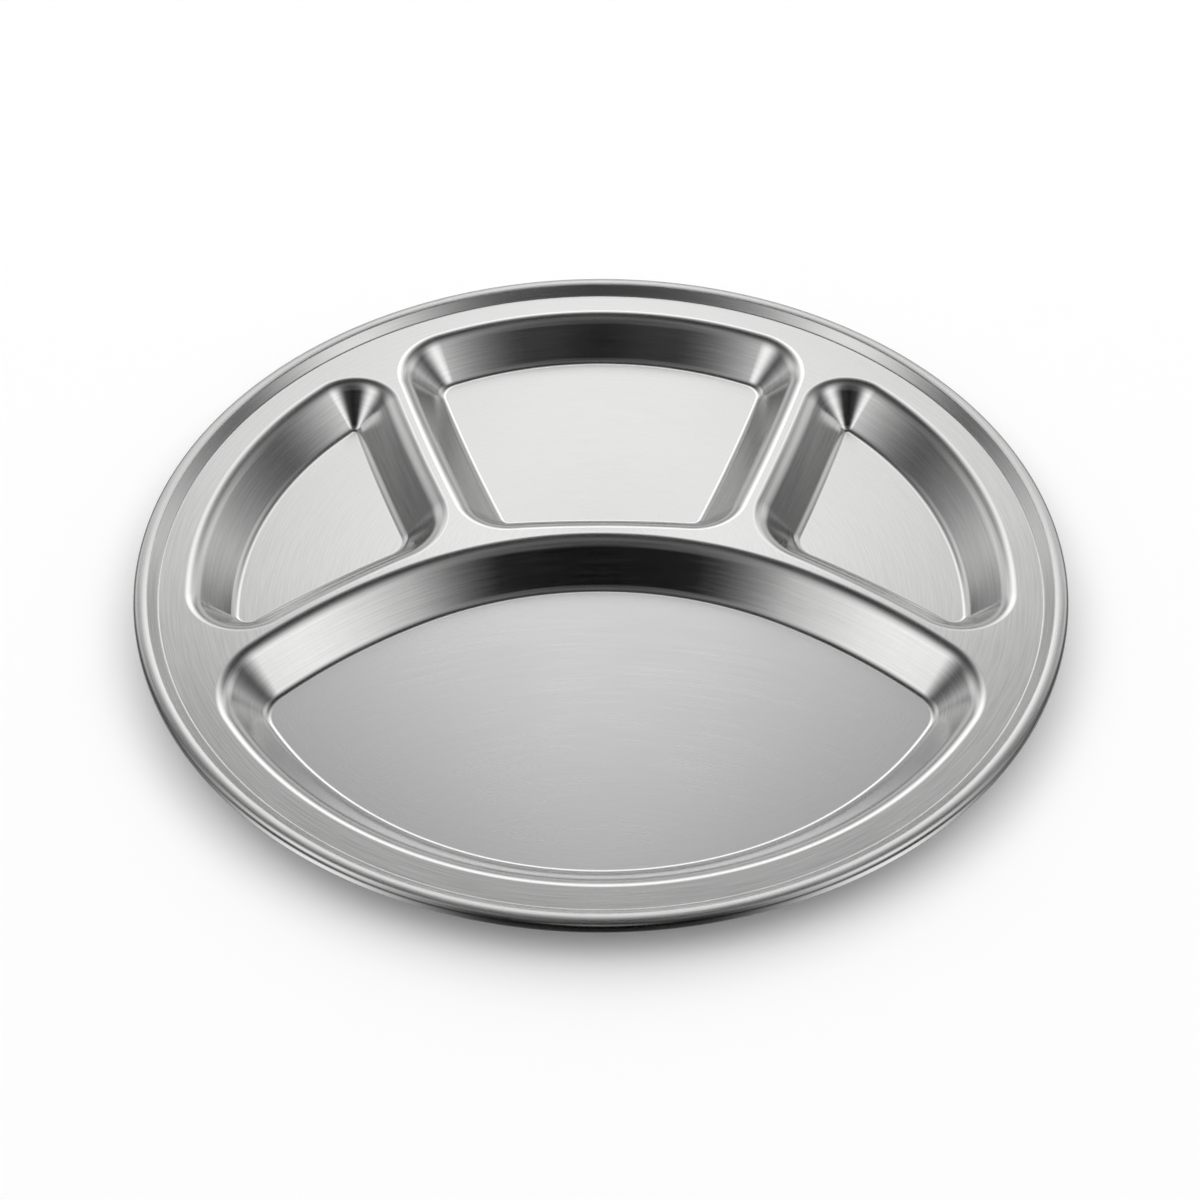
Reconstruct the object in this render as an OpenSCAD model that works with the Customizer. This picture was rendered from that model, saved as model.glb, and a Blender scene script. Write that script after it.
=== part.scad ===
// Divided serving plate: one pressed steel sheet with four compartments and a wired rim.
// The plate's centre is on the Z axis and the undersides of the compartments are on Z = 0.
// The main compartment is at the front (-Y). All sizes are in millimetres.
// A wall line is where the slope of a wall would meet the flat deck if the fold were sharp.

/* [Plate] */
// Outside diameter over the rolled rim
plate_d = 280; // [270:1:300]
// Thickness of the steel sheet
sheet_t = 0.7; // [0.5:0.05:0.9]
// Depth of the compartments, from the top of the deck to the top of their floors
depth = 11; // [9:0.5:12]
// Slope of the compartment walls, measured from level
wall_angle = 43; // [40:1:60]
// Radius on top of the fold where the deck turns down into a wall
deck_fold_r = 2.5; // [1.5:0.1:3]
// Radius on top of the fold where a wall turns into a floor
floor_fold_r = 2.2; // [1.5:0.1:3]

/* [Rim] */
// Width of the raised rim, from the crease on the deck to the outside
rim_w = 7; // [6.5:0.1:9]
// Height of the top of the rim above the deck
rim_rise = 2.7; // [2.3:0.1:3.4]
// Outside diameter of the rolled edge
curl_d = 4.4; // [3.8:0.1:5]
// Angle through which the edge is rolled
curl_turn = 290; // [270:5:295]
// Radius on top of the crease where the deck turns up into the rim
crease_r = 1.2; // [0.8:0.1:2]
// Clearance between the wire and the rolled edge around it
wire_gap = 0.05; // [0.02:0.01:0.2]
// Width of the flat deck between the rim's crease and the fold of an outer wall
flange_w = 9; // [6:0.5:12]

/* [Main compartment] */
// Distance of its back wall line behind the plate's centre, on the centre line
main_back_y = 13.3; // [8:0.1:16]
// Radius of the middle of its back wall line
main_back_r = 123; // [115:1:140]
// Half of the angle that the middle of its back wall line spans
main_back_angle = 29; // [22:1:34]
// Radius of the two flatter ends of its back wall line
main_flank_r = 186; // [170:1:220]
// Radius of the two corners of its flat floor
main_corner_r = 10.3; // [4:0.1:15]

/* [Rear compartment] */
// Half of the angle, seen from the plate's centre, between the outer ends of its side wall lines
rear_angle = 33.6; // [32:0.1:36]
// Angle by which its side wall lines lean out from the centre line at their outer ends
rear_flare = 16.1; // [14:0.1:18]
// Radius of the slight outward bow of the ribs beside it
rib_bow_r = 900; // [700:10:950]
// Width of the ribs beside and in front of it, between the wall lines on either side
rib_w = 6.1; // [5.5:0.1:8]
// Radius of the slight bow in its front wall line
rear_bow_r = 320; // [280:5:450]
// Radius of the two back corners of its flat floor
rear_back_corner_r = 6.3; // [3:0.1:9]
// Radius of the two front corners of its flat floor
rear_front_corner_r = 2.8; // [1:0.1:6]

/* [Side compartments] */
// Distance of their front wall lines from the plate's centre
side_front_d = 40.6; // [40:0.1:46]
// Angle of their front wall lines to the X axis
side_front_angle = 36.8; // [35:0.1:38]
// Radius of the slight bow in their front wall lines
side_bow_r = 340; // [300:5:450]
// Distance of the middle of that bow from the point of the line nearest to the plate's centre
side_bow_at = 70; // [60:1:80]
// Radius of the back corner of their flat floors
side_back_corner_r = 0.9; // [0.6:0.1:3]
// Radius of the corner of their flat floors beside the rear compartment
side_inner_corner_r = 7.3; // [2:0.1:10]
// Radius of the corner of their flat floors beside the main compartment
side_outer_corner_r = 3.3; // [1:0.1:6]

/* [Hidden] */
$fn = 360;

// Straight steps in a fold, in the rolled edge and along a strip of wall
fold_steps = 6;
curl_steps = 30;
cell_steps = 16;
// Flat strips beside the folds of a section, of which the deck and the floors overlap half
deck_lead = 0.6;
floor_lead = 0.3;
// How far the strip cut out for a wall reaches past its section, on the deck side and on the floor side
deck_margin = 1.5;
floor_margin = 0.15;
// The middle of the sheet runs on past every second arc of a wall line, to join it to the walls beside it:
// depth of that middle below the sheet's faces, and how far it runs on
splice_skin = 0.15;
splice_l = 1;

// Lengths are kept to a thousandth of a millimetre, so that wall lines meet exactly
function thou(x) = round(x * 1000) / 1000;

plate_r = plate_d / 2;
deck_z = depth + sheet_t;
deck_fold_t = thou(deck_fold_r * tan(wall_angle / 2));
floor_fold_t = thou(floor_fold_r * tan(wall_angle / 2));
wall_run = thou(depth / tan(wall_angle));
// Distance of the flat floor inside the wall line
floor_inset = wall_run + floor_fold_t;
crease_x = plate_r - rim_w;
outer_wall_r = crease_x - flange_w - deck_fold_t;

function unit(a) = [cos(a), sin(a)];
function angle_of(v) = atan2(v.y, v.x);
// The same angle between 0 and one full turn
function one_turn(a) = (a + 2 * 360) % 360;

// Points along a bend: centre, radius, first direction, turn and number of steps
function bend(c, r, from, turn, steps) = [for (i = [0:steps]) c + r * unit(from + turn * i / steps)];

// Where two circles cross, on the left of the way from the first centre to the second
function circles_cross(p, r, q, s) =
    let (d = q - p, l = norm(d), a = (r * r - s * s + l * l) / (2 * l))
    p + d / l * a + [-d.y, d.x] / l * sqrt(r * r - a * a);

// Moves by a point in two steps, its thousandths and then the rest, so that no digits are lost
module at(p) {
    near = [for (v = p) thou(v)];
    translate(near)
        translate(p - near)
            children();
}

// Section across a wall, between two depths below the sheet's top face.
// x runs inward from the wall line and y is the height.
deck_fold_c = [-deck_fold_t, deck_z - deck_fold_r];
floor_fold_c = [floor_inset, sheet_t + floor_fold_r];
function section(top, under) = concat(
    [[-deck_fold_t - deck_lead, deck_z - under], [-deck_fold_t - deck_lead, deck_z - top]],
    bend(deck_fold_c, deck_fold_r - top, 90, -wall_angle, fold_steps),
    bend(floor_fold_c, floor_fold_r + top, 270 - wall_angle, wall_angle, fold_steps),
    [[floor_inset + floor_lead, sheet_t - top], [floor_inset + floor_lead, sheet_t - under]],
    bend(floor_fold_c, floor_fold_r + under, 270, -wall_angle, fold_steps),
    bend(deck_fold_c, deck_fold_r - under, 90 - wall_angle, wall_angle, fold_steps)
);

// Section of the rolled rim: x is the distance from the plate's axis and y is the height
curl_r = curl_d / 2;
curl_c = [plate_r - curl_r, deck_z + rim_rise - curl_r];
rim_reach = curl_c - [crease_x, deck_z];
rim_slope = angle_of(rim_reach) + asin(curl_r / norm(rim_reach));
crease_t = thou(crease_r * tan(rim_slope / 2));
crease_c = [crease_x - crease_t, deck_z + crease_r];
rim_section = concat(
    [[crease_x - crease_t - deck_lead, depth], [crease_x - crease_t - deck_lead, deck_z]],
    bend(crease_c, crease_r, 270, rim_slope, fold_steps),
    bend(curl_c, curl_r, 90 + rim_slope, -curl_turn, curl_steps),
    bend(curl_c, curl_r - sheet_t, 90 + rim_slope - curl_turn, curl_turn, curl_steps),
    bend(crease_c, crease_r + sheet_t, 270 + rim_slope, -rim_slope, fold_steps)
);

// A wall line is a closed list of arcs that follow each other counter-clockwise.
// An arc is [centre, radius, side]: the side is 1 where the compartment lies inside the arc's
// circle, and -1 where the compartment lies outside it.

// Arc that rounds the corner between two arcs, to suit the radius of the flat floor's corner
function corner(a, b, floor_r) =
    let (r = floor_r + floor_inset)
    [circles_cross(a[0], a[1] - a[2] * r, b[0], b[1] - b[2] * r), r, 1];

function mirrored(arc) = [[-arc[0].x, arc[0].y], arc[1], arc[2]];

outer_arc = [[0, 0], outer_wall_r, 1];

// Wall line of the main compartment
main_back = [[0, main_back_y - main_back_r], main_back_r, 1];
main_flank_c = main_back[0] + (main_back_r - main_flank_r) * unit(90 - main_back_angle);
main_flank = [main_flank_c, main_flank_r, 1];
main_corner = corner(outer_arc, main_flank, main_corner_r);
main_line = [outer_arc, main_corner, main_flank, main_back, mirrored(main_flank), mirrored(main_corner)];

// Wall line of the rear compartment
rear_front = [[0, main_back_y + rib_w - rear_bow_r], rear_bow_r, -1];
rib_c = outer_wall_r * unit(90 - rear_angle) + rib_bow_r * unit(180 - rear_flare);
rear_side = [rib_c, rib_bow_r, 1];
rear_front_corner = corner(rear_side, rear_front, rear_front_corner_r);
rear_back_corner = corner(rear_side, outer_arc, rear_back_corner_r);
rear_line = [
    rear_front, rear_front_corner, rear_side, rear_back_corner,
    outer_arc, mirrored(rear_back_corner), mirrored(rear_side), mirrored(rear_front_corner)
];

// Wall line of the right side compartment; the left one is its mirror image
side_inner = [rib_c, rib_bow_r + rib_w, -1];
side_n = unit(90 - side_front_angle);
side_front_c = side_n * (side_front_d - side_bow_r) + [side_n.y, -side_n.x] * side_bow_at;
side_front = [side_front_c, side_bow_r, -1];
side_back_corner = corner(side_inner, outer_arc, side_back_corner_r);
side_inner_corner = corner(side_inner, side_front, side_inner_corner_r);
side_outer_corner = corner(outer_arc, side_front, side_outer_corner_r);
side_line = [outer_arc, side_back_corner, side_inner, side_inner_corner, side_front, side_outer_corner];

// Point where an arc and the next one meet
function joint(a, b) =
    let (big = a[1] > b[1] ? a : b, small = a[1] > b[1] ? b : a, d = small[0] - big[0])
    big[0] + d / norm(d) * big[1];

// Plan of the strip along arc i of a wall line, between its joints with the arcs before and after.
// It can run on past both joints. Its points go along the deck side and then back along the floor side.
function cell(line, i, past = 0) =
    let (
        n = len(line),
        arc = line[i],
        first = angle_of(joint(line[(i + n - 1) % n], arc) - arc[0]),
        last = angle_of(joint(arc, line[(i + 1) % n]) - arc[0]),
        extra = arc[2] * past / arc[1] * 180 / PI,
        from = first - extra,
        turn = arc[2] * one_turn(arc[2] * (last - first)) + 2 * extra,
        deck_side = arc[1] + arc[2] * (deck_fold_t + deck_lead + deck_margin),
        floor_side = arc[1] - arc[2] * (floor_inset + floor_lead + floor_margin)
    )
    concat(
        bend(arc[0], deck_side, from, turn, cell_steps),
        bend(arc[0], floor_side, from + turn, -turn, cell_steps)
    );

// The flat area inside a wall line, moved inward by a distance
module area(line, inward) {
    strips = [for (i = [0:len(line) - 1]) cell(line, i)];
    polygon([for (strip = strips) for (k = [len(strip) - 1:-1:cell_steps + 1]) strip[k]]);
    for (i = [0:len(line) - 1])
        if (line[i][2] > 0)
            intersection() {
                polygon(strips[i]);
                at(line[i][0])
                    circle(line[i][1] - inward);
            }
        else
            difference() {
                polygon(strips[i]);
                at(line[i][0])
                    circle(line[i][1] + inward);
            }
}

// One arc of a wall line: a section carried round the arc's centre, cut to the arc's strip
module wall(arc, strip, profile)
    intersection() {
        translate([0, 0, -deck_margin])
            linear_extrude(deck_z + 2 * deck_margin)
                polygon(strip);
        at(concat(arc[0], 0))
            rotate_extrude()
                at([arc[1], 0])
                    mirror([arc[2] > 0 ? 1 : 0, 0])
                        polygon(profile);
    }

// Walls around a compartment, with the folds above and below them
module walls(line)
    for (i = [0:len(line) - 1]) {
        wall(line[i], cell(line, i), section(0, sheet_t));
        if (i % 2 == 1)
            wall(line[i], cell(line, i, splice_l), section(splice_skin, sheet_t - splice_skin));
    }

module compartment(line) {
    walls(line);
    linear_extrude(sheet_t)
        area(line, floor_inset + floor_lead / 2);
}

module opening(line)
    area(line, -deck_fold_t - deck_lead / 2);

// The flat deck between the rim and the compartments
module deck()
    translate([0, 0, depth])
        linear_extrude(sheet_t)
            difference() {
                circle(crease_x - crease_t - deck_lead / 2);
                opening(main_line);
                opening(rear_line);
                for (side = [0, 1])
                    mirror([side, 0])
                        opening(side_line);
            }

// The sheet: deck, compartments and the edge rolled over the wire
module pressed_sheet()
    color("silver") {
        deck();
        rotate_extrude()
            polygon(rim_section);
        compartment(main_line);
        compartment(rear_line);
        for (side = [0, 1])
            mirror([side, 0, 0])
                compartment(side_line);
    }

// The wire ring inside the rolled edge
module rim_wire()
    color("dimgray")
        rotate_extrude()
            translate(curl_c)
                circle(curl_r - sheet_t - wire_gap);

pressed_sheet();
rim_wire();
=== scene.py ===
# %% [markdown]
# A divided serving plate in brushed steel.
# The real plate is one sheet of stainless steel. A press forms four compartments in it, and its edge is
# rolled over a ring of wire, which makes the rim stiff and leaves no sharp edge to hold.
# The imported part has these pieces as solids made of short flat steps. Here the same sheet is worked out
# again as smooth surfaces, because a mirror-like metal shows every step in its highlights.

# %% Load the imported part
from collections import namedtuple
from math import asin, atan2, ceil, cos, pi, radians, sin, tan

import bpy
import numpy as np
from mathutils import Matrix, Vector
from mathutils.geometry import delaunay_2d_cdt


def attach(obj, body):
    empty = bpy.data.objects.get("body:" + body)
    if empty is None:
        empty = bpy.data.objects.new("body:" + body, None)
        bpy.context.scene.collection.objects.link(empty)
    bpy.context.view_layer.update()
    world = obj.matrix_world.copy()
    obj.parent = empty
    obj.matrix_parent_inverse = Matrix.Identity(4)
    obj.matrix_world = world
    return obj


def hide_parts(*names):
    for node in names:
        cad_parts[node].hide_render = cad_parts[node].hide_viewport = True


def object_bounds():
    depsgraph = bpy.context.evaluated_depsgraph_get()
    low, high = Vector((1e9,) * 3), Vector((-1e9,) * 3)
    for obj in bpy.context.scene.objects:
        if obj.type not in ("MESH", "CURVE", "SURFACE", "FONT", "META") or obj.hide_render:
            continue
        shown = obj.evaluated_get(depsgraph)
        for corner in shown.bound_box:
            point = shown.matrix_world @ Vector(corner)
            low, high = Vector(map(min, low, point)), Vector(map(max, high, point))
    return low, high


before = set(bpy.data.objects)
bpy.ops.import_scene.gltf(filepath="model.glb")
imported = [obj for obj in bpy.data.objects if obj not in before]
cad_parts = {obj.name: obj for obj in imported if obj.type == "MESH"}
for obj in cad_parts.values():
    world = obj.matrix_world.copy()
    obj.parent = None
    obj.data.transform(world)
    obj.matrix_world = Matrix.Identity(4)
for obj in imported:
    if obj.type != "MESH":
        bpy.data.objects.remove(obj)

cad_low, cad_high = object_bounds()
print("box of the solids, mm:", [round(1000 * side, 2) for side in cad_high - cad_low])

# %% [markdown]
# Every size below is a real one, turned into metres. The outside radius and the full height are read from
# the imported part, so that the new surfaces can't leave its box. A wall line is where the slope of a wall
# would meet the flat deck if the fold between them were sharp, and all plans are drawn with these lines.
# The wall's angle and the two fold radii are those of the solids. On the rim, the crown is the bead's
# nearly flat top, the face is its upright outer side, and the tuck is the edge turned in underneath.

# %% Sizes of the sheet and its rim
MM = 0.001
plate_r = min(-cad_low[0], -cad_low[1], cad_high[0], cad_high[1])
rim_top = cad_high[2]
sheet_t = 0.7 * MM
depth = 11 * MM
wall_angle = radians(43)
deck_fold_r = 2.5 * MM
floor_fold_r = 2.2 * MM
flange_w = 9 * MM
rim_w = 7 * MM
crease_r = 1.2 * MM
crown_r = 8 * MM
crown_in = radians(12)
crown_out = radians(6)
inner_r = 1 * MM
outer_r = 1.6 * MM
face_h = 1.05 * MM
tuck_run = 1.2 * MM
tuck_turn = radians(68)
wire_gap = 0.05 * MM

deck_z = depth + sheet_t
deck_fold_t = deck_fold_r * tan(wall_angle / 2)
floor_fold_t = floor_fold_r * tan(wall_angle / 2)
floor_inset = depth / tan(wall_angle) + floor_fold_t
crease_x = plate_r - rim_w
outer_wall_r = crease_x - flange_w - deck_fold_t
print("radius of the outer walls, mm:", round(outer_wall_r / MM, 2))

# %% Sizes of the compartments
main_back_y = 13.3 * MM
main_back_r = 123 * MM
main_back_angle = radians(29)
main_flank_r = 186 * MM
main_corner_r = 10.3 * MM

rib_w = 6.1 * MM
rib_bow_r = 900 * MM
rear_angle = radians(33.6)
rear_flare = radians(16.1)
rear_bow_r = 320 * MM
rear_back_corner_r = 6.3 * MM
rear_front_corner_r = 2.8 * MM

side_front_d = 40.6 * MM
side_front_angle = radians(36.8)
side_bow_r = 340 * MM
side_bow_at = 70 * MM
side_back_corner_r = 0.9 * MM
side_inner_corner_r = 7.3 * MM
side_outer_corner_r = 3.3 * MM
print("width of a rib between wall lines, mm:", round(rib_w / MM, 2))

# %% [markdown]
# The plan of each compartment is a closed line of arcs, because a press tool is cut with round cutters and
# has no sharp corners. An arc keeps its centre, its radius and the side on which the compartment lies.
# Neighbouring arcs touch without a kink, so the centre of a corner's arc is found as the point that lies
# one corner radius inside both of its neighbours.

# %% Arcs and how they meet
Arc = namedtuple("Arc", "centre radius side")


def unit(angle):
    """Direction in the plan: the cosine and the sine of an angle."""
    return np.stack([np.cos(angle), np.sin(angle)], -1)


def circles_cross(p, r, q, s):
    """Where two circles cross, to the left of the way from p to q.

    The distance along that way is (r^2 - s^2 + length^2) / (2 length), and Pythagoras gives the rest.
    """
    way = q - p
    length = np.hypot(*way)
    along = (r * r - s * s + length * length) / (2 * length)
    left = np.array([-way[1], way[0]])
    return p + (way * along + left * np.sqrt(r * r - along * along)) / length


def corner(a, b, floor_r):
    """Arc between two arcs, whose radius is that of the flat floor's corner plus the floor's inset."""
    r = floor_r + floor_inset
    return Arc(circles_cross(a.centre, a.radius - a.side * r, b.centre, b.radius - b.side * r), r, 1)


def mirrored(arc):
    """The same arc on the other side of the plate: its centre's x changes sign."""
    return Arc(arc.centre * [-1, 1], arc.radius, arc.side)


def joint(a, b):
    """Point where two touching arcs meet: on the larger circle, in the direction of the smaller centre."""
    big, small = (a, b) if a.radius > b.radius else (b, a)
    way = small.centre - big.centre
    return big.centre + way / np.hypot(*way) * big.radius


outer_wall = Arc(np.zeros(2), outer_wall_r, 1)
print("the outer walls share one circle of", round(2 * outer_wall.radius / MM, 1), "mm")

# %% Line of the main compartment
main_back = Arc(np.array([0, main_back_y - main_back_r]), main_back_r, 1)
flank_way = unit(pi / 2 - main_back_angle)
main_flank = Arc(main_back.centre + (main_back_r - main_flank_r) * flank_way, main_flank_r, 1)
main_corner = corner(outer_wall, main_flank, main_corner_r)
main_line = [
    outer_wall, main_corner, main_flank, main_back, mirrored(main_flank), mirrored(main_corner),
]
print("main compartment:", len(main_line), "arcs")

# %% Line of the rear compartment
rear_front = Arc(np.array([0, main_back_y + rib_w - rear_bow_r]), rear_bow_r, -1)
rib_centre = outer_wall_r * unit(pi / 2 - rear_angle) + rib_bow_r * unit(pi - rear_flare)
rear_side = Arc(rib_centre, rib_bow_r, 1)
rear_front_corner = corner(rear_side, rear_front, rear_front_corner_r)
rear_back_corner = corner(rear_side, outer_wall, rear_back_corner_r)
rear_line = [
    rear_front, rear_front_corner, rear_side, rear_back_corner,
    outer_wall, mirrored(rear_back_corner), mirrored(rear_side), mirrored(rear_front_corner),
]
print("rear compartment:", len(rear_line), "arcs")

# %% Lines of the two side compartments
side_inner = Arc(rib_centre, rib_bow_r + rib_w, -1)
side_n = unit(pi / 2 - side_front_angle)
side_along = np.array([side_n[1], -side_n[0]])
side_front = Arc(side_n * (side_front_d - side_bow_r) + side_along * side_bow_at, side_bow_r, -1)
right_line = [
    outer_wall, corner(side_inner, outer_wall, side_back_corner_r),
    side_inner, corner(side_inner, side_front, side_inner_corner_r),
    side_front, corner(outer_wall, side_front, side_outer_corner_r),
]
left_line = [mirrored(arc) for arc in right_line[::-1]]
print("side compartments:", len(right_line), "arcs each")

# %% [markdown]
# To become a mesh, a line is walked counter-clockwise in short steps. Tight corners get a step for every
# few degrees and long walls one for every few millimetres. Each point also keeps the level direction that
# points into the compartment, which later carries the wall's section.

# %% Walk along a line
walk_step = 3 * MM
walk_turn = radians(3)
least_steps = 8


def arc_steps(before, arc, after):
    """Points and inward directions on one arc: centre plus radius times even angles between its joints."""
    first = atan2(*(joint(before, arc) - arc.centre)[::-1])
    last = atan2(*(joint(arc, after) - arc.centre)[::-1])
    turn = (arc.side * (last - first)) % (2 * pi)
    count = max(least_steps, ceil(turn / walk_turn), ceil(turn * arc.radius / walk_step))
    ray = unit(first + arc.side * turn * np.arange(count) / count)
    return arc.centre + arc.radius * ray, -arc.side * ray


def walk(line):
    """Points and inward directions round a whole line; the last row repeats the first one."""
    neighbours = zip(line[-1:] + line[:-1], line, line[1:] + line[:1])
    stretches = [arc_steps(*three) for three in neighbours]
    points, inward = (np.concatenate(rows) for rows in zip(*stretches))
    return np.vstack([points, points[:1]]), np.vstack([inward, inward[:1]])


print("steps round the main compartment:", len(walk(main_line)[0]) - 1)

# %% [markdown]
# Across a wall the sheet has the same section everywhere: a fold down from the deck, a straight slope and
# a fold into the floor. The rim has its own section: a crease, a rise, a bead with a flat crown, and a tuck
# that takes the edge back under the wire. Each section keeps its facing directions too. These come from
# the formula and not from the faces, so that highlights run smoothly over the folds. The solids have tight
# folds and a round roll. Here the folds are as soft as in the picture and the slope between them is a
# little steeper, which moves the wall by about half a millimetre, and the bead has the picture's flat top.

# %% Section of a wall
soft_angle = radians(45)
deck_soft_r = 7 * MM
floor_soft_r = 3.7 * MM
fold_steps = 11
slope_steps = 6


def bend(centre, r, first, last, steps):
    """Points on a round bend, centre plus r times direction, and those directions."""
    ray = unit(np.linspace(first, last, steps + 1))
    return centre + r * ray, ray


def between(start, end, steps):
    """Points inside a straight stretch: start plus an even share of the way to the end."""
    share = np.linspace(0, 1, steps + 1)[1:-1, None]
    return start + (end - start) * share


foot_x = depth / tan(wall_angle)
head_x = foot_x - depth / tan(soft_angle)
deck_fold_c = np.array([head_x - deck_soft_r * tan(soft_angle / 2), deck_z - deck_soft_r])
floor_fold_c = np.array([foot_x + floor_soft_r * tan(soft_angle / 2), sheet_t + floor_soft_r])
deck_fold, deck_fold_n = bend(deck_fold_c, deck_soft_r, pi / 2, pi / 2 - soft_angle, fold_steps)
floor_fold, floor_ray = bend(floor_fold_c, floor_soft_r, 1.5 * pi - soft_angle, 1.5 * pi, fold_steps)
wall_section = np.concatenate([deck_fold, between(deck_fold[-1], floor_fold[0], slope_steps), floor_fold])
wall_facing = np.concatenate([deck_fold_n, np.repeat(deck_fold_n[-1:], slope_steps - 1, 0), -floor_ray])
print("points across a wall:", len(wall_section))

# %% Section of the rim
crease_steps = 5
rise_steps = 4
crown_steps = 8
shoulder_steps = 7

lean_in, lean_out = unit(pi / 2 + crown_in), unit(pi / 2 - crown_out)
crown_c = np.array([plate_r - outer_r - (crown_r - outer_r) * lean_out[0], rim_top - crown_r])
inner_c = crown_c + (crown_r - inner_r) * lean_in
outer_c = crown_c + (crown_r - outer_r) * lean_out
under_c = outer_c - [0, face_h]
tuck_c = under_c - [tuck_run, 0]
reach = inner_c - [crease_x, deck_z]
rim_slope = atan2(reach[1], reach[0]) + asin(inner_r / np.hypot(*reach))
crease_c = np.array([crease_x - crease_r * tan(rim_slope / 2), deck_z + crease_r])
crease, crease_ray = bend(crease_c, crease_r, -pi / 2, rim_slope - pi / 2, crease_steps)
inner, inner_n = bend(inner_c, inner_r, pi / 2 + rim_slope, pi / 2 + crown_in, shoulder_steps)
crown, crown_n = bend(crown_c, crown_r, pi / 2 + crown_in, pi / 2 - crown_out, crown_steps)
outer, outer_n = bend(outer_c, outer_r, pi / 2 - crown_out, 0, shoulder_steps)
under, under_n = bend(under_c, outer_r, 0, -pi / 2, shoulder_steps)
tuck, tuck_n = bend(tuck_c, outer_r, -pi / 2, -pi / 2 - tuck_turn, shoulder_steps)
rise, run = between(crease[-1], inner[0], rise_steps), between(under[-1], tuck[0], rise_steps)
rise_n, run_n = np.repeat(inner_n[:1], len(rise), 0), np.repeat(tuck_n[:1], len(run), 0)
bead = np.concatenate([inner, crown[1:], outer[1:], under])
bead_n = np.concatenate([inner_n, crown_n[1:], outer_n[1:], under_n])
rim_section = np.concatenate([crease, rise, bead, run, tuck])
rim_facing = np.concatenate([-crease_ray, rise_n, bead_n, run_n, tuck_n])
print("slope of the rim, degrees:", round(rim_slope * 180 / pi, 1))

# %% [markdown]
# A patch is one stretch of the sheet's top: its points, its facing directions, and what the finish needs.
# The grain coordinate has two numbers that go round with the brushing and one that crosses it, so noise
# that is squeezed along the third number becomes long streaks. The UV map runs the same way and gives the
# shader its direction of brushing. The wear is how far the polishing wheel has brightened a fold; on the
# rim's bead the same number also carries a painted highlight on its top.

# %% Patches and grids
WALL, FLOOR, FLANGE = 0, 1, 2


def lift(plan, height):
    """Adds a height to plan points, as a third number."""
    return np.concatenate([plan, np.broadcast_to(height, plan.shape[:-1] + (1,))], -1)


def carry(points, inward, section, facing):
    """A section carried along a path.

    A place is the path's point plus the section's distance times the inward direction, at the section's
    height. The facing direction is turned in the same way.
    """
    place = points[:, None] + section[None, :, :1] * inward[:, None]
    way = facing[None, :, :1] * inward[:, None]
    return lift(place, section[None, :, 1:]), lift(way, facing[None, :, 1:])


def lengths(path):
    """Distance along a path at each of its points: the running sum of the steps."""
    return np.concatenate([[0], np.cumsum(np.linalg.norm(np.diff(path, axis=0), axis=1))])


def grid_quads(k):
    """Four-cornered faces between the neighbouring rows and columns of a grid of point numbers."""
    return np.stack([k[:-1, :-1], k[1:, :-1], k[1:, 1:], k[:-1, 1:]], -1).reshape(-1, 4)


def patch(place, facing, grain, uv, wear, quads, triangles, finish):
    """One stretch of surface, with everything as flat lists of points."""
    return dict(
        place=place.reshape(-1, 3), facing=facing.reshape(-1, 3), grain=grain.reshape(-1, 3),
        uv=uv.reshape(-1, 2), wear=np.broadcast_to(wear, place.shape[:-1]).reshape(-1),
        quads=quads, triangles=triangles, finish=finish,
    )


NO_TRIANGLES = np.zeros((0, 3), int)
NO_QUADS = np.zeros((0, 4), int)
print("finishes: brushed along each wall, in arcs on the main floor, and round the plate")

# %% [markdown]
# A wall is the wall section carried along its line. Its grain runs along the wall, because a belt follows
# the slope when a pressed plate is finished. Both folds are worn a little brighter than the slope.

# %% Walls
floor_fold_wear = 0.5
fold_hump = np.sin(np.linspace(0, pi, fold_steps + 1))
wall_wear = np.concatenate([fold_hump, np.zeros(slope_steps - 1), floor_fold_wear * fold_hump])


def wall_patch(line):
    """Wall of a compartment: the wall section carried round the line.

    The grain's first two numbers are a circle as long as the line, so the streaks join up at its end.
    """
    points, inward = walk(line)
    place, facing = carry(points, inward, wall_section, wall_facing)
    along, across = lengths(points), lengths(wall_section)
    ring_r = along[-1] / (2 * pi)
    ring = np.broadcast_to(ring_r * unit(along / ring_r)[:, None], place.shape[:2] + (2,))
    uv = np.stack(np.broadcast_arrays(along[:, None], across[None]), -1)
    k = np.arange(place.shape[0] * place.shape[1]).reshape(place.shape[:2])
    grain = lift(ring, across[None, :, None])
    made = patch(place, facing, grain, uv, wall_wear, grid_quads(k), NO_TRIANGLES, WALL)
    return made, place[:-1, 0], place[:, -1]


lines = [main_line, rear_line, right_line, left_line]
walls, openings, floor_edges = zip(*(wall_patch(line) for line in lines))
print("points on the walls:", sum(len(wall["place"]) for wall in walls))

# %% [markdown]
# A floor is flat, so its grid only has to fill the outline: rings that shrink to one point in the middle.
# The main floor is brushed in wide arcs that follow its back wall, as a swinging pad leaves them. The three
# smaller floors are brushed round the plate's own centre, like the flange.

# %% Floors
floor_rings = 6
swing_centre = np.array([0, -190]) * MM
swing_r = 130 * MM


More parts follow.
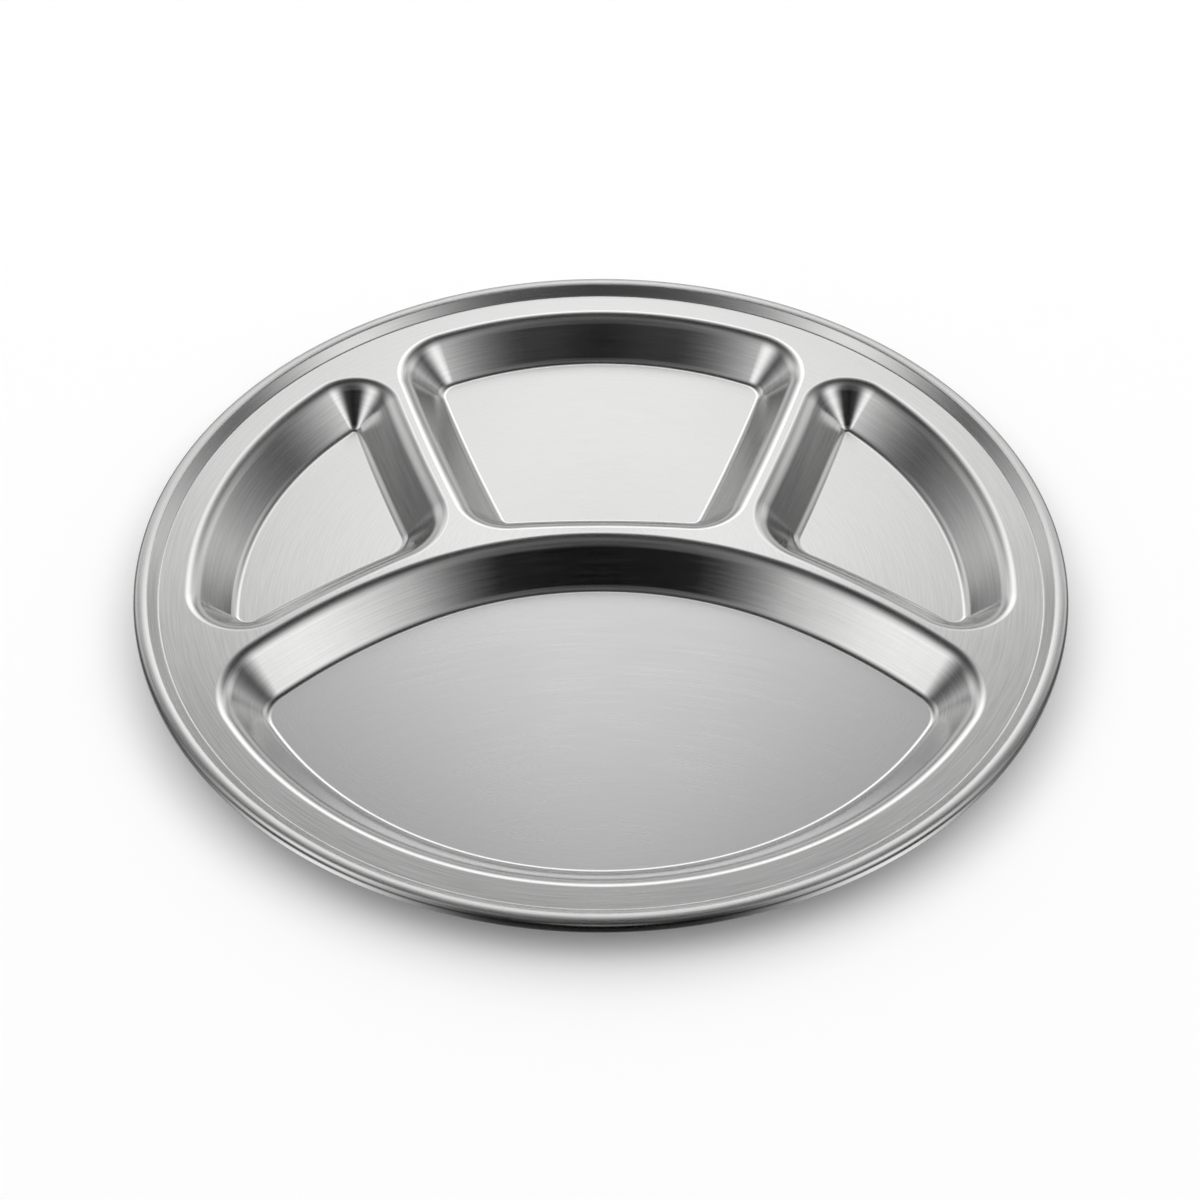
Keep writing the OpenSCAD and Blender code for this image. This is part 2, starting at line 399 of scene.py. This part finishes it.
def floor_patch(edge, finish):
    """Floor inside an outline: a point moves from the edge to the middle by an even share.

    The grain goes round the point that the pad swings about, which lies in front of the plate.
    """
    share = np.linspace(0, 1, floor_rings + 1)[None, :, None]
    place = edge[:, None] + (edge[:-1].mean(0) - edge)[:, None] * share
    swing = place[..., :2] - swing_centre
    ring = np.linalg.norm(swing, axis=-1)
    turn = np.arctan2(swing[..., 1], swing[..., 0])
    uv = np.stack([swing_r * turn, -ring], -1)
    k = np.arange(ring.size).reshape(ring.shape)
    fan = np.stack([k[:-1, -2], k[1:, -2], k[:-1, -1]], -1)
    up = np.broadcast_to([0.0, 0.0, 1.0], place.shape)
    grain = lift(swing_r * swing / ring[..., None], ring[..., None])
    return patch(place, up, grain, uv, 0.0, grid_quads(k[:, :-1]), fan, finish)


floor_finish = [FLOOR, FLANGE, FLANGE, FLANGE]
floors = [floor_patch(*pair) for pair in zip(floor_edges, floor_finish)]
print("points on the floors:", sum(len(floor["place"]) for floor in floors))

# %% [markdown]
# The rim is turned round the plate's axis, as the rolling tool does it. Its bead is made paler on top, more
# so the more its facing direction points up: partly wear from stacking and handling, partly a painted
# highlight.

# %% Rim
round_steps = 360
rim_wear_and_highlight = 0.7
rim_wear_and_highlight_power = 6

theta = np.linspace(0, 2 * pi, round_steps + 1)
spokes = unit(theta)
spokes[-1] = spokes[0]
hub = np.zeros_like(spokes)


def turned_patch(section, facing, wear, finish):
    """A section turned round the plate's axis: its distance runs along each spoke."""
    place, way = carry(hub, spokes, section, facing)
    across = lengths(section)
    ring = np.broadcast_to(plate_r * spokes[:, None], place.shape[:2] + (2,))
    uv = np.stack(np.broadcast_arrays(plate_r * theta[:, None], across[None]), -1)
    k = np.arange(place.shape[0] * place.shape[1]).reshape(place.shape[:2])
    grain = lift(ring, across[None, :, None])
    return patch(place, way, grain, uv, wear, grid_quads(k)[:, ::-1], NO_TRIANGLES, finish)


# Paler top of the bead: partly wear, partly a painted highlight that grows with the upward facing.
bead_wear_and_highlight = np.zeros(len(rim_section))
bead_at = len(crease) + len(rise)
bead_wear_and_highlight[bead_at:bead_at + len(bead)] = rim_wear_and_highlight * np.clip(bead_n[:, 1], 0, 1) ** rim_wear_and_highlight_power
rim = turned_patch(rim_section, rim_facing, bead_wear_and_highlight, FLANGE)
rim_inside = rim["place"].reshape(round_steps + 1, -1, 3)[:-1, 0]
print("points on the rim:", len(rim["place"]))

# %% [markdown]
# The deck is what is left of the flat sheet between the rim and the four openings. It has no grid of its
# own: a constrained triangulation joins the edges that the rim and the walls already have, so that no
# gap can open between them. Triangles that lie inside an opening belong to two outlines and are left out.

# %% Deck
merge_within = 1e-9
loops = [rim_inside, *openings]
edge_points = np.concatenate(loops)
loop_ends = np.cumsum([0] + [len(loop) for loop in loops])
outlines = [list(range(*ends)) for ends in zip(loop_ends[:-1], loop_ends[1:])]
found = delaunay_2d_cdt(edge_points[:, :2].tolist(), [], outlines, 1, merge_within)
inside_rim_only = [face for face, inside in zip(found[2], found[5]) if list(inside) == [0]]
deck_place = edge_points[[came_from[0] for came_from in found[3]]]
deck_up = np.broadcast_to([0.0, 0.0, 1.0], deck_place.shape)
deck = patch(deck_place, deck_up, deck_place, deck_place[:, :2], 0.0,
             NO_QUADS, np.array(inside_rim_only), FLANGE)
print("triangles in the deck:", len(deck["triangles"]))

# %% [markdown]
# So far there is only the top face. A solidify modifier could give it a thickness, but the underside is
# simple to work out: every point moves back along its facing direction by the thickness of the sheet, and
# the faces turn over. A narrow strip along the cut edge, hidden inside the rim, closes the solid.

# %% Underside and cut edge


def underside(top):
    """The other face of the sheet: place minus thickness times facing, with the faces reversed."""
    return dict(
        top, place=top["place"] - sheet_t * top["facing"], facing=-top["facing"],
        quads=top["quads"][:, ::-1], triangles=top["triangles"][:, ::-1],
    )


edge_section = np.array([tuck[-1], tuck[-1] - sheet_t * tuck_n[-1]])
edge_way = np.array([[tuck_n[-1][1], -tuck_n[-1][0]]] * 2)
cut_edge = turned_patch(edge_section, edge_way, 0.0, FLANGE)
top_side = [*walls, *floors, rim, deck]
sheet_patches = top_side + [underside(top) for top in top_side] + [cut_edge]
print("patches in the sheet:", len(sheet_patches))

# %% [markdown]
# One function turns patches into a mesh. Points of neighbouring patches that coincide are welded, which
# makes a closed skin. The signed volume shows that the faces look outwards, and an edge with fewer than
# two faces would show a gap.

# %% Build a mesh
weld_digits = 9


def join(patches, name):
    """One array for all patches; point numbers are raised by the points that come before."""
    if name not in ("quads", "triangles"):
        return np.concatenate([p[name] for p in patches])
    starts = np.cumsum([0] + [len(p["place"]) for p in patches])
    return np.concatenate([p[name] + start for p, start in zip(patches, starts)])


def measure(points, quads, triangles):
    """Volume, as the sum of the triangles' pyramids from the origin, open edges and triangles."""
    tris = np.concatenate([quads[:, [0, 1, 2]], quads[:, [0, 2, 3]], triangles])
    a, b, c = points[tris].transpose(1, 0, 2)
    pairs = np.sort(np.concatenate([tris[:, [0, 1]], tris[:, [1, 2]], tris[:, [2, 0]]]), axis=1)
    uses = np.unique(pairs, axis=0, return_counts=True)[1]
    return np.einsum("ij,ij->i", a, np.cross(b, c)).sum() / 6, int((uses != 2).sum()), len(tris)


def build(name, patches, materials):
    """A mesh object from patches, with its UV map, grain, wear and painted highlight, and facing directions.
    """
    place, quads, triangles = (join(patches, part) for part in ("place", "quads", "triangles"))
    _, kept, welded = np.unique(place.round(weld_digits), axis=0, return_index=True, return_inverse=True)
    welded = welded.reshape(-1)
    corners = np.concatenate([quads.ravel(), triangles.ravel()])
    sizes = np.repeat([4, 3], [len(quads), len(triangles)])
    finish = [np.repeat([p["finish"] for p in patches], [len(p[part]) for p in patches])
              for part in ("quads", "triangles")]

    mesh = bpy.data.meshes.new(name)
    mesh.vertices.add(len(kept))
    mesh.vertices.foreach_set("co", place[kept].astype(np.float32).ravel())
    mesh.loops.add(len(corners))
    mesh.loops.foreach_set("vertex_index", welded[corners].astype(np.int32))
    mesh.polygons.add(len(sizes))
    mesh.polygons.foreach_set("loop_start", (np.cumsum(sizes) - sizes).astype(np.int32))
    mesh.polygons.foreach_set("material_index", np.concatenate(finish).astype(np.int32))
    mesh.update(calc_edges=True)
    mesh.shade_smooth()

    uv = mesh.uv_layers.new(name="grain_uv")
    uv.data.foreach_set("uv", join(patches, "uv")[corners].astype(np.float32).ravel())
    grain = mesh.attributes.new("grain", "FLOAT_VECTOR", "POINT")
    grain.data.foreach_set("vector", join(patches, "grain")[kept].astype(np.float32).ravel())
    wear = mesh.attributes.new("wear", "FLOAT", "POINT")
    wear.data.foreach_set("value", join(patches, "wear")[kept].astype(np.float32))
    mesh.normals_split_custom_set(join(patches, "facing")[corners].astype(np.float32))
    for material in materials:
        mesh.materials.append(material)

    volume, gaps, count = measure(place[kept], welded[quads], welded[triangles])
    print(name, "has", count, "triangles,", round(volume * 1e6, 2), "cm3 and", gaps, "open edges")
    made = bpy.data.objects.new(name, mesh)
    bpy.context.scene.collection.objects.link(made)
    return made


print("mesh builder ready")

# %% [markdown]
# The finish is satin steel: a belt or a turning pad has drawn fine scratches through the bright metal, so
# that its reflections are blurred across the scratches and hardly along them. In Blender that is a metal
# with anisotropic roughness, and noise that is stretched along the brushing gives the single scratches.
# The walls read the grain attribute. The flange, the rim and the small floors work it out from Object
# coordinates, because there the brushing simply runs round the plate.

# %% Directions of brushing


def put(tree, kind, inputs=None, **settings):
    """Adds a node: an input that is a socket becomes a link, and any other one a constant."""
    node = tree.nodes.new(kind)
    for name, value in settings.items():
        setattr(node, name, value)
    for name, value in (inputs or {}).items():
        if isinstance(value, bpy.types.NodeSocket):
            tree.links.new(value, node.inputs[name])
        else:
            node.inputs[name].default_value = value
    return node


def vector_math(tree, operation, a, b):
    """Result of a sum on two vectors, of which the second may be a constant."""
    return put(tree, "ShaderNodeVectorMath", {0: a, 1: b}, operation=operation).outputs[0]


def math(tree, operation, a, b):
    """Result of a sum on two numbers, of which the second may be a constant."""
    return put(tree, "ShaderNodeMath", {0: a, 1: b}, operation=operation).outputs[0]


def along_the_wall(tree):
    """Grain from the piece's own attribute, and the brushing's direction from its UV map."""
    grain = put(tree, "ShaderNodeAttribute", attribute_name="grain").outputs["Vector"]
    return grain, put(tree, "ShaderNodeTangent", direction_type="UV_MAP", uv_map="grain_uv").outputs[0]


def round_the_plate(tree):
    """Grain as a circle of the plate's size and, across it, the radius plus the height."""
    place = put(tree, "ShaderNodeTexCoord").outputs["Object"]
    level = vector_math(tree, "MULTIPLY", place, (1, 1, 0))
    spoke = put(tree, "ShaderNodeVectorMath", {0: level}, operation="NORMALIZE").outputs[0]
    ring = put(tree, "ShaderNodeSeparateXYZ", {0: vector_math(tree, "MULTIPLY", spoke, (plate_r,) * 3)})
    radius = put(tree, "ShaderNodeVectorMath", {0: level}, operation="LENGTH").outputs["Value"]
    height = put(tree, "ShaderNodeSeparateXYZ", {0: place}).outputs["Z"]
    across = math(tree, "ADD", radius, height)
    whole = {"X": ring.outputs["X"], "Y": ring.outputs["Y"], "Z": across}
    grain = put(tree, "ShaderNodeCombineXYZ", whole).outputs[0]
    return grain, put(tree, "ShaderNodeTangent", direction_type="RADIAL", axis="Z").outputs[0]


print("directions of brushing: along the wall, round the plate")

# %% [markdown]
# Four layers make the look. Fine streaks are the brushing itself, and broad ones are passes of the belt
# that took a little more or less. A cloud stands for the uneven hand of the finisher. On the walls a
# second, fainter brushing crosses the first one: it doesn't show in the colour, but it blurs the
# reflections in thin lines. The streaks also tilt the surface a little through a bump node, and folds that
# rub against other plates are paler and duller. The same paler tone on the top of the rim's bead is partly
# wear and partly a painted highlight.

# %% Layers of the finish
fine_streaks = (60, 60, 1900)
broad_streaks = (18, 18, 420)
cross_streaks = (1200, 1200, 40)
cloud_scale = 26
broad_share = 0.25
cloud_share = 0.3


def noise(tree, vector, detail):
    """Smooth noise at a scaled place."""
    inputs = {"Vector": vector, "Scale": 1, "Detail": detail, "Roughness": 0.5}
    return put(tree, "ShaderNodeTexNoise", inputs).outputs["Fac"]


def blend(tree, share, a, b):
    """Mix of two numbers: (1 - share) a + share b."""
    return put(tree, "ShaderNodeMix", {"Factor": share, "A": a, "B": b}, data_type="FLOAT").outputs[0]


def spread(tree, value, start, end, low, high):
    """Straight change of range: start becomes low and end becomes high."""
    inputs = {"Value": value, "From Min": start, "From Max": end, "To Min": low, "To Max": high}
    return put(tree, "ShaderNodeMapRange", inputs).outputs[0]


print("layers of the finish: fine, broad and crossing streaks, and a cloud")

# %% Brushed steel
tone_range = (0.32, 0.68)
satin_range = (0.3, 0.7)
satin_change = 0.06
# Pale tone of worn folds, which on the top of the rim's bead is also a painted highlight.
worn_and_highlight_tone = (0.88, 0.88, 0.87, 1)
worn_and_highlight_share = 0.15
worn_roughness = 0.04
streak_depth = 0.06 * MM
streak_strength = 0.07
brushed_stretch = 0.6
quarter_turn = 0.25


def brushed_steel(name, brushing, dark, light, smooth, crossing):
    """Brushed metal, whose brushing runs along the direction that the given function finds."""
    material = bpy.data.materials.new(name)
    material.use_nodes = True
    tree = material.node_tree
    shader = tree.nodes["Principled BSDF"]
    grain, tangent = brushing(tree)
    place = put(tree, "ShaderNodeTexCoord").outputs["Object"]

    fine = noise(tree, vector_math(tree, "MULTIPLY", grain, fine_streaks), 1)
    broad = noise(tree, vector_math(tree, "MULTIPLY", grain, broad_streaks), 2)
    cross = noise(tree, vector_math(tree, "MULTIPLY", grain, cross_streaks), 2)
    cloud = noise(tree, vector_math(tree, "MULTIPLY", place, (cloud_scale,) * 3), 3)
    streaks = blend(tree, broad_share, fine, broad)
    finish = blend(tree, cloud_share, streaks, cloud)
    wear = put(tree, "ShaderNodeAttribute", attribute_name="wear").outputs["Fac"]

    tone = put(tree, "ShaderNodeValToRGB", {"Fac": finish})
    for stop, position, colour in zip(tone.color_ramp.elements, tone_range, (dark, light)):
        stop.position = position
        stop.color = colour
    # Paler where the attribute is high: worn folds, and a painted highlight on the top of the bead.
    bright = math(tree, "MULTIPLY", wear, worn_and_highlight_share)
    colours = {0: bright, 6: tone.outputs["Color"], 7: worn_and_highlight_tone}
    colour = put(tree, "ShaderNodeMix", colours, data_type="RGBA").outputs[2]
    tree.links.new(colour, shader.inputs["Base Color"])

    satin = spread(tree, finish, *satin_range, smooth, smooth + satin_change)
    crossed = spread(tree, cross, *satin_range, -crossing, crossing)
    rubbed = math(tree, "MULTIPLY", wear, worn_roughness)
    roughness = math(tree, "ADD", math(tree, "ADD", satin, crossed), rubbed)
    tree.links.new(roughness, shader.inputs["Roughness"])
    dents = {"Strength": streak_strength, "Distance": streak_depth, "Height": streaks}
    tree.links.new(put(tree, "ShaderNodeBump", dents).outputs[0], shader.inputs["Normal"])
    tree.links.new(tangent, shader.inputs["Tangent"])
    shader.inputs["Metallic"].default_value = 1
    shader.inputs["Anisotropic"].default_value = brushed_stretch
    shader.inputs["Anisotropic Rotation"].default_value = quarter_turn
    print("material", name, "has", len(tree.nodes), "nodes")
    return material


print("brushed steel: roughness changes by", satin_change, "along the streaks")

# %% [markdown]
# The press leaves the walls brightest, the pads dull the flange a little more, and the main floor, which
# sees the most wiping, is the palest and dullest. The drawn wire is darker than the sheet.

# %% The four finishes
wall_smooth, wall_crossing = 0.14, 0.008
floor_smooth, flange_smooth, wire_smooth = 0.26, 0.22, 0.24
dark_steel, bright_steel = (0.69, 0.69, 0.685, 1), (0.83, 0.83, 0.825, 1)
dark_floor, bright_floor = (0.83, 0.83, 0.835, 1), (0.9, 0.9, 0.905, 1)
dark_wire, bright_wire = (0.42, 0.42, 0.42, 1), (0.56, 0.56, 0.555, 1)
wall_steel = brushed_steel(
    "wall_steel", along_the_wall, dark_steel, bright_steel, wall_smooth, wall_crossing)
floor_steel = brushed_steel("floor_steel", along_the_wall, dark_floor, bright_floor, floor_smooth, 0)
flange_steel = brushed_steel("flange_steel", round_the_plate, dark_steel, bright_steel, flange_smooth, 0)
wire_steel = brushed_steel("wire_steel", round_the_plate, dark_wire, bright_wire, wire_smooth, 0)

# %% [markdown]
# With patches and finishes ready, the sheet is built in one go. It takes the place of the imported sheet,
# which is hidden.

# %% The pressed sheet
sheet = build("sheet", sheet_patches, [wall_steel, floor_steel, flange_steel])
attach(sheet, "root")
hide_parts("pressed_sheet")

# %% [markdown]
# The wire is a ring of drawn steel inside the bead. It shows only through the narrow gap below the rim,
# but without it the rim would look hollow from underneath. A turned circle is all that it needs.

# %% The wire in the rim
wire_steps = 24
DRAWN = 0
rim_bottom = under_c[1] - outer_r
wire_r = (rim_top - rim_bottom) / 2 - sheet_t - wire_gap
wire_c = np.array([crown_c[0], (rim_top + rim_bottom) / 2])
wire_section, wire_facing = bend(wire_c, wire_r, 2 * pi, 0, wire_steps)
wire_section[-1] = wire_section[0]
wire = build("wire", [turned_patch(wire_section, wire_facing, 0.0, DRAWN)], [wire_steel])
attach(wire, "root")
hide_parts("rim_wire")

# %% [markdown]
# The plate stands on white paper in a white studio. The paper is a large flat square that is just pale
# enough to come out white, with a trace of its own light in place of what the rest of a room would add.
# It lies a hair below the plate, so that the two surfaces never share a plane, and its back is clear, so
# that the plate can also be looked at from below.

# %% White paper
paper_half = 4.0
paper_z = -0.2 * MM
paper_white = (0.9, 0.9, 0.9, 1)
paper_glow = 0.03
studio_white = (0.98, 0.98, 0.98, 1)

paper_mesh = bpy.data.meshes.new("studio_paper")
paper_corners = lift(paper_half * np.array([[-1, -1], [1, -1], [1, 1], [-1, 1]]), paper_z)
paper_mesh.from_pydata(paper_corners.tolist(), [], [(0, 1, 2, 3)])
paper_floor = bpy.data.objects.new("studio_paper", paper_mesh)
bpy.context.scene.collection.objects.link(paper_floor)
paper_floor.visible_glossy = False

paper = bpy.data.materials.new("white_paper")
paper.use_nodes = True
paper_shader = paper.node_tree.nodes["Principled BSDF"]
paper_shader.inputs["Base Color"].default_value = paper_white
paper_shader.inputs["Roughness"].default_value = 1
paper_shader.inputs["Specular IOR Level"].default_value = 0
paper_shader.inputs["Emission Color"].default_value = (1, 1, 1, 1)
paper_shader.inputs["Emission Strength"].default_value = paper_glow
paper_tree = paper.node_tree
paper_back = put(paper_tree, "ShaderNodeNewGeometry").outputs["Backfacing"]
clear = put(paper_tree, "ShaderNodeBsdfTransparent").outputs[0]
sides = {0: paper_back, 1: paper_shader.outputs[0], 2: clear}
one_sided = put(paper_tree, "ShaderNodeMixShader", sides).outputs[0]
paper_tree.links.new(one_sided, paper_tree.nodes["Material Output"].inputs["Surface"])
paper_mesh.materials.append(paper)

studio = bpy.data.worlds.new("studio")
studio.use_nodes = True
studio.node_tree.nodes["Background"].inputs["Color"].default_value = studio_white
bpy.context.scene.world = studio
print("paper:", 2 * paper_half, "m wide")

# %% [markdown]
# A wide soft light straight above gives the shadow: dark under the rim, and gone a rim's height outside it.
# A sun lamp with a large angle does that in one lamp. The metal doesn't see it, because its reflections
# come from the tent that follows.

# %% Soft light from above
overhead_width = radians(100)
overhead_energy = 3.02

overhead_lamp = bpy.data.lights.new("overhead", "SUN")
overhead_lamp.angle = overhead_width
overhead_lamp.energy = overhead_energy
overhead = bpy.data.objects.new("overhead", overhead_lamp)
overhead.visible_glossy = False
bpy.context.scene.collection.objects.link(overhead)
print("overhead light:", round(overhead_width * 180 / pi), "degrees wide")

# %% [markdown]
# Polished metal shows its surroundings, so most of what is seen on the plate is the studio. A round tent
# stands for it: white cloth with soft patches of light and dark gaps between them. Only the metal and the
# paper see the tent, and the camera sees the white world behind it. The pattern below the horizon repeats
# the one above it, as white paper would show it, with a dim band for the shadow that lies on the paper.

# %% Tent
tent_r = 3.0
tent_round_steps = 96
tent_rise_steps = 48
tent_az = np.linspace(0, 2 * pi, tent_round_steps + 1)
tent_el = np.linspace(-pi / 2, pi / 2, tent_rise_steps + 1)
tent_plan = unit(tent_az)[:, None] * np.cos(tent_el)[None, :, None]
tent_place = tent_r * lift(tent_plan, np.sin(tent_el)[None, :, None])
tent_quads = grid_quads(np.arange(tent_az.size * tent_el.size).reshape(tent_az.size, tent_el.size))
tent_mesh = bpy.data.meshes.new("studio_tent")
tent_mesh.from_pydata(tent_place.reshape(-1, 3).tolist(), [], tent_quads.tolist())
tent = bpy.data.objects.new("studio_tent", tent_mesh)
bpy.context.scene.collection.objects.link(tent)
tent.visible_camera = False
tent.visible_shadow = False
print("tent:", len(tent_quads), "faces")

# %% [markdown]
# A lamp behind the cloth is a soft patch that is brightest in its middle. Its azimuth is counted from the
# back of the plate and its elevation from the table, both in degrees, and a larger focus makes it smaller.
# Most lamps stand in pairs, one on each side of the plate. The backdrop is a broad glow low behind it.

# %% Light on the tent
SoftLamp = namedtuple("SoftLamp", "azimuth elevation focus strength")
lamp_end = 0.05
high_lamps = [SoftLamp(0, 90, 40, 0.12)]
front_lamp = SoftLamp(180, 22, 70, 0.5)
paired_lamps = [
    SoftLamp(4.5, 39.5, 56, 1.0),
    SoftLamp(20, 32, 110, 0.5),
    SoftLamp(110, 41, 21, 1.25),
    SoftLamp(88, 61, 30, 0.7),
    SoftLamp(42, 28, 20, 0.75),
    SoftLamp(46, 12, 60, 0.2),
    SoftLamp(155, 63, 60, 0.13),
    SoftLamp(135, 20, 35, 0.6),
    SoftLamp(92, 11, 40, 0.4),
]

cloth = bpy.data.materials.new("tent_cloth")
cloth.use_nodes = True
cloth_tree = cloth.node_tree
cloth_tree.nodes.clear()
cloth.cycles.emission_sampling = "NONE"
outward = put(cloth_tree, "ShaderNodeTexCoord").outputs["Object"]
true_way = put(cloth_tree, "ShaderNodeVectorMath", {0: outward}, operation="NORMALIZE").outputs[0]
true_xyz = put(cloth_tree, "ShaderNodeSeparateXYZ", {0: true_way}).outputs
height = math(cloth_tree, "ABSOLUTE", true_xyz["Z"], 0.0)
folded = {"X": true_xyz["X"], "Y": true_xyz["Y"], "Z": height}
folded_way = put(cloth_tree, "ShaderNodeCombineXYZ", folded).outputs[0]


def glow(way, lamp):
    """Soft patch of light: strength times exp(focus times (cosine of the angle from its middle - 1)).

    A small part is taken off and nothing is left below zero, so that a patch has an end.
    """
    az, el = radians(lamp.azimuth), radians(lamp.elevation)
    aim = (cos(el) * sin(az), cos(el) * cos(az), sin(el))
    near = put(cloth_tree, "ShaderNodeVectorMath", {0: way, 1: aim}, operation="DOT_PRODUCT").outputs["Value"]
    steep = math(cloth_tree, "MULTIPLY", math(cloth_tree, "SUBTRACT", near, 1.0), lamp.focus)
    ended = math(cloth_tree, "SUBTRACT", math(cloth_tree, "EXPONENT", steep, 0.0), lamp_end)
    return math(cloth_tree, "MULTIPLY", math(cloth_tree, "MAXIMUM", ended, 0.0), lamp.strength)


def ease(value, start, end, low, high):
    """Smooth change from low at start to high at end."""
    inputs = {"Value": value, "From Min": start, "From Max": end, "To Min": low, "To Max": high}
    return put(cloth_tree, "ShaderNodeMapRange", inputs, interpolation_type="SMOOTHSTEP").outputs[0]


total = glow(true_way, front_lamp)
for lamp in high_lamps:
    total = math(cloth_tree, "ADD", total, glow(folded_way, lamp))
for lamp in paired_lamps:
    for side in (-1, 1):
        turned = lamp._replace(azimuth=side * lamp.azimuth)
        total = math(cloth_tree, "ADD", total, glow(folded_way, turned))
print("soft lamps on the tent:", 1 + len(high_lamps) + 2 * len(paired_lamps))

# %% Backdrop and room light on the tent
backdrop_strength = 0.52
backdrop_band = (0.40, 0.22)
backdrop_way = (0.76, 0.965)
room_band = (0.75, 0.45)
room_glow = (0.02, 0.08)
room_way = (-0.4, 0.05)
paper_shade = 0.35
shade_top = (-0.12, 0)
shade_foot = (-0.62, -0.42)

level_way = vector_math(cloth_tree, "MULTIPLY", true_way, (1, 1, 0))
heading = put(cloth_tree, "ShaderNodeVectorMath", {0: level_way}, operation="NORMALIZE").outputs[0]
backward = put(cloth_tree, "ShaderNodeSeparateXYZ", {0: heading}).outputs["Y"]
low_band = ease(height, *backdrop_band, 0, backdrop_strength)
backdrop = math(cloth_tree, "MULTIPLY", low_band, ease(backward, *backdrop_way, 0, 1))
room_high = ease(height, *room_band, *room_glow)
room = math(cloth_tree, "MULTIPLY", room_high, ease(true_xyz["Y"], *room_way, 0, 1))
total = math(cloth_tree, "ADD", total, math(cloth_tree, "ADD", backdrop, room))
shaded_above = ease(true_xyz["Z"], *shade_top, paper_shade, 1)
shaded_below = ease(true_xyz["Z"], *shade_foot, 1, paper_shade)
total = math(cloth_tree, "MULTIPLY", total, math(cloth_tree, "MAXIMUM", shaded_above, shaded_below))
shine = put(cloth_tree, "ShaderNodeEmission", {"Color": (1, 1, 1, 1), "Strength": total}).outputs[0]
put(cloth_tree, "ShaderNodeOutputMaterial", {"Surface": shine})
tent_mesh.materials.append(cloth)
print("tent cloth has", len(cloth_tree.nodes), "nodes")

# %% [markdown]
# The camera looks down at the plate from the front, as in the picture. Its focal length and the point that
# the middle of the deck falls on are known in pixels of that picture, and a lens shift moves the plate
# there without turning the camera.

# %% Camera
picture_px = 1200
focal_px = 2649
middle_px = (600.4, 565.7)
centre_px = (picture_px - 1) / 2
camera_elevation = radians(43.46)
camera_distance = 800 * MM
clip_near = 10 * MM
clip_far = 50

camera_data = bpy.data.cameras.new("camera")
camera = bpy.data.objects.new("camera", camera_data)
bpy.context.scene.collection.objects.link(camera)
bpy.context.scene.camera = camera
away = Vector((0, -cos(camera_elevation), sin(camera_elevation)))
camera.location = Vector((0, 0, deck_z)) + camera_distance * away
camera.rotation_euler = (pi / 2 - camera_elevation, 0, 0)
camera_data.lens = camera_data.sensor_width * focal_px / picture_px
camera_data.shift_x = (centre_px - middle_px[0]) / picture_px
camera_data.shift_y = (middle_px[1] - centre_px) / picture_px
camera_data.clip_start = clip_near
camera_data.clip_end = clip_far
bpy.context.scene.view_settings.view_transform = "Standard"
print("focal length, mm:", round(camera_data.lens, 1))
